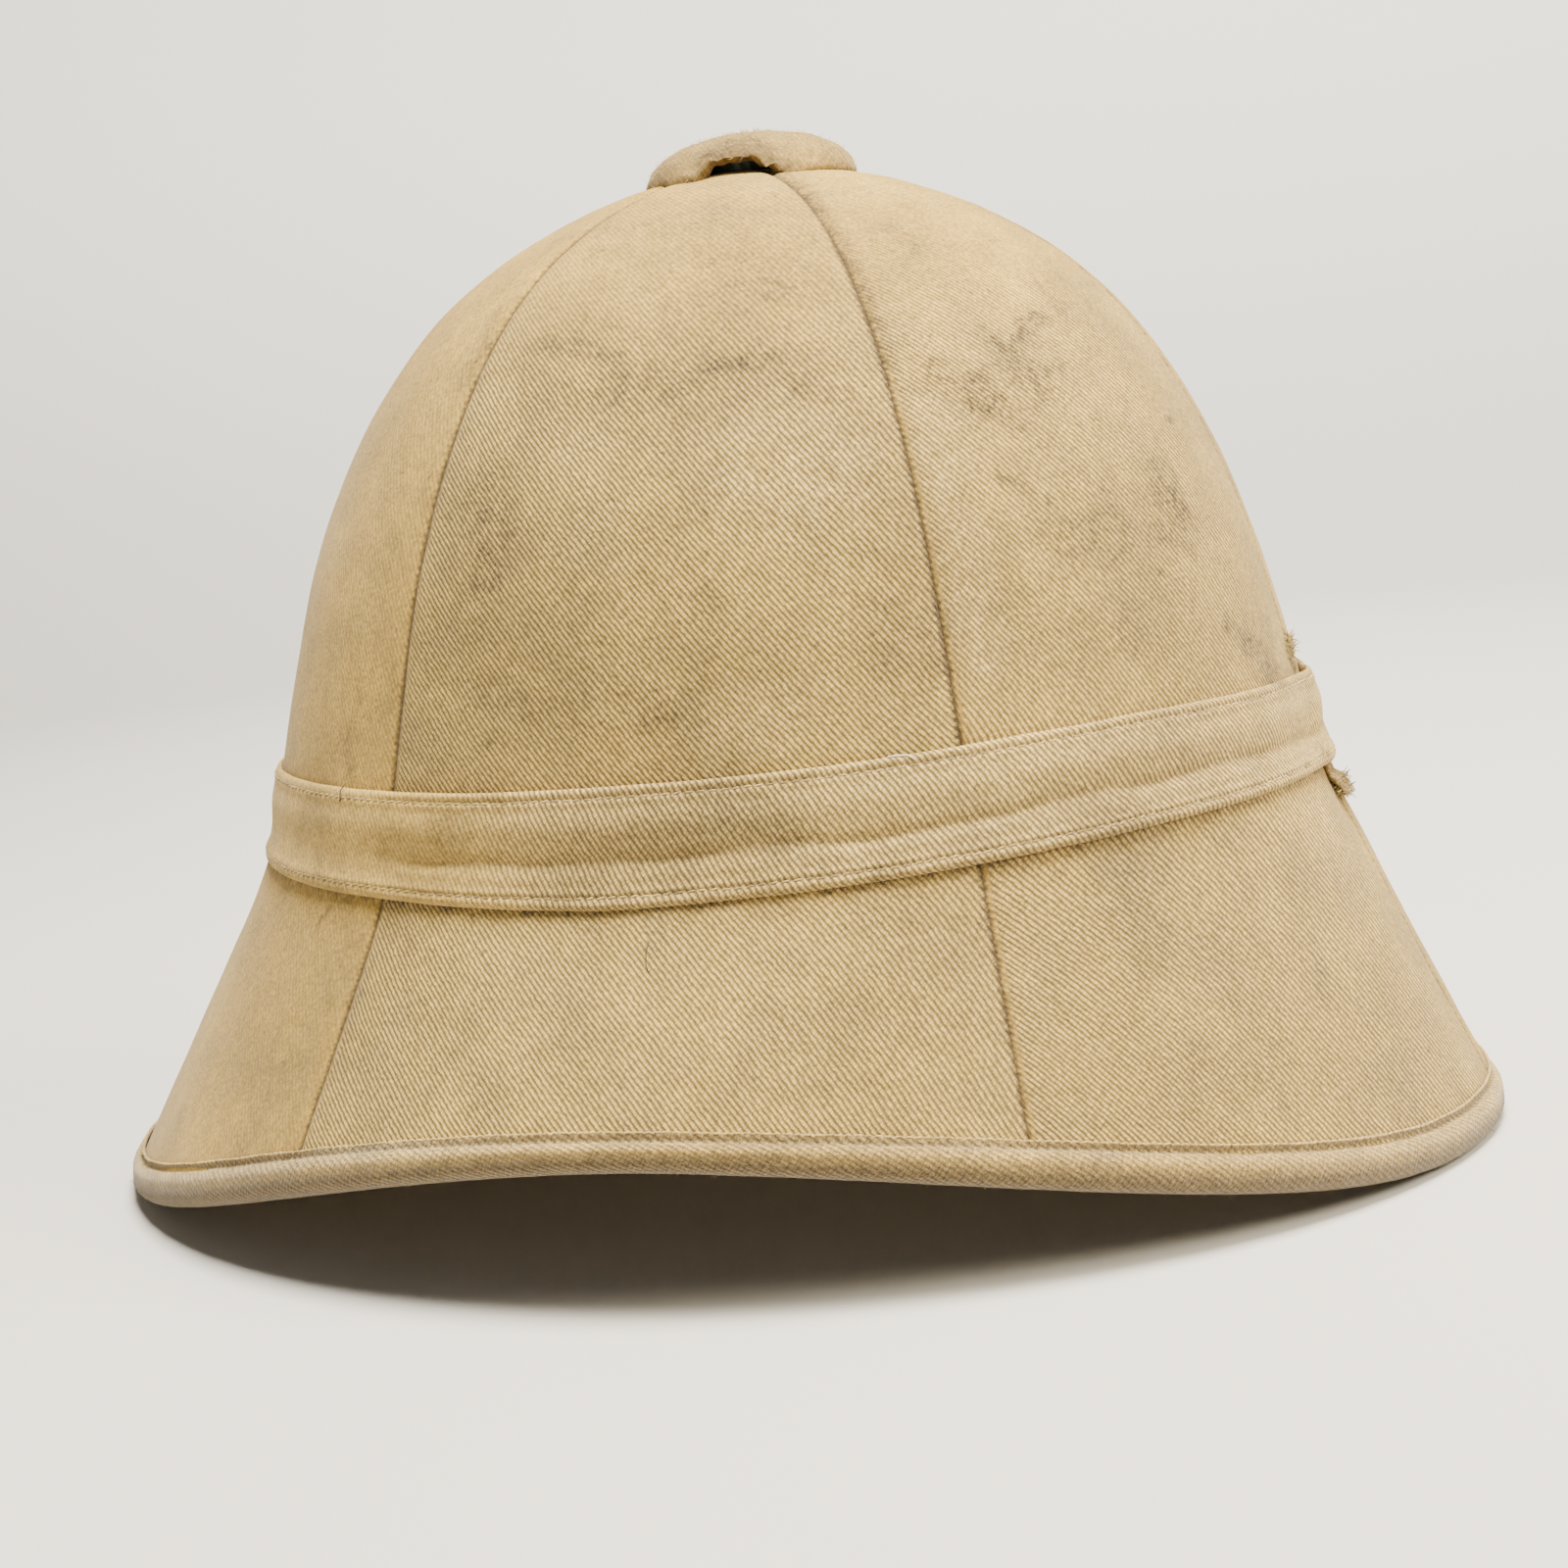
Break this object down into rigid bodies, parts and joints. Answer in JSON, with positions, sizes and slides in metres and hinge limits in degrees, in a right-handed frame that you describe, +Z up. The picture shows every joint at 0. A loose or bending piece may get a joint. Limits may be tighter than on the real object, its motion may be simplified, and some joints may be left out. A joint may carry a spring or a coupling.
{
  "type": "pith helmet",
  "caption": "Worn khaki pith sun helmet with a tall domed crown, sloping bound brim, folded cloth band and a cloth-covered ventilator cap torn at its rim.",
  "frame": {"origin": "centre of the overall box in plan, at the level of the surface that the brim's front and back stand on", "axes": "+X to the front peak, +Y to the wearer's left, +Z up through the ventilator"},
  "size_m": [0.3307, 0.2646, 0.2358],
  "materials": {
    "pith": "matte moulded pith",
    "cotton_drill": "faded khaki twill",
    "binding_tape": "woven khaki tape",
    "vent_metal": "worn green-grey paint"
  },
  "bodies": {
    "root": {"pith_shell": "pith", "cover_gore_1": "cotton_drill", "cover_gore_2": "cotton_drill", "cover_gore_3": "cotton_drill", "cover_gore_4": "cotton_drill", "cover_gore_5": "cotton_drill", "cover_gore_6": "cotton_drill", "hat_band": "cotton_drill", "frayed_strip": "cotton_drill", "brim_binding": "binding_tape", "vent_neck": "vent_metal", "vent_cap": "cotton_drill"}
  },
  "joints": []
}
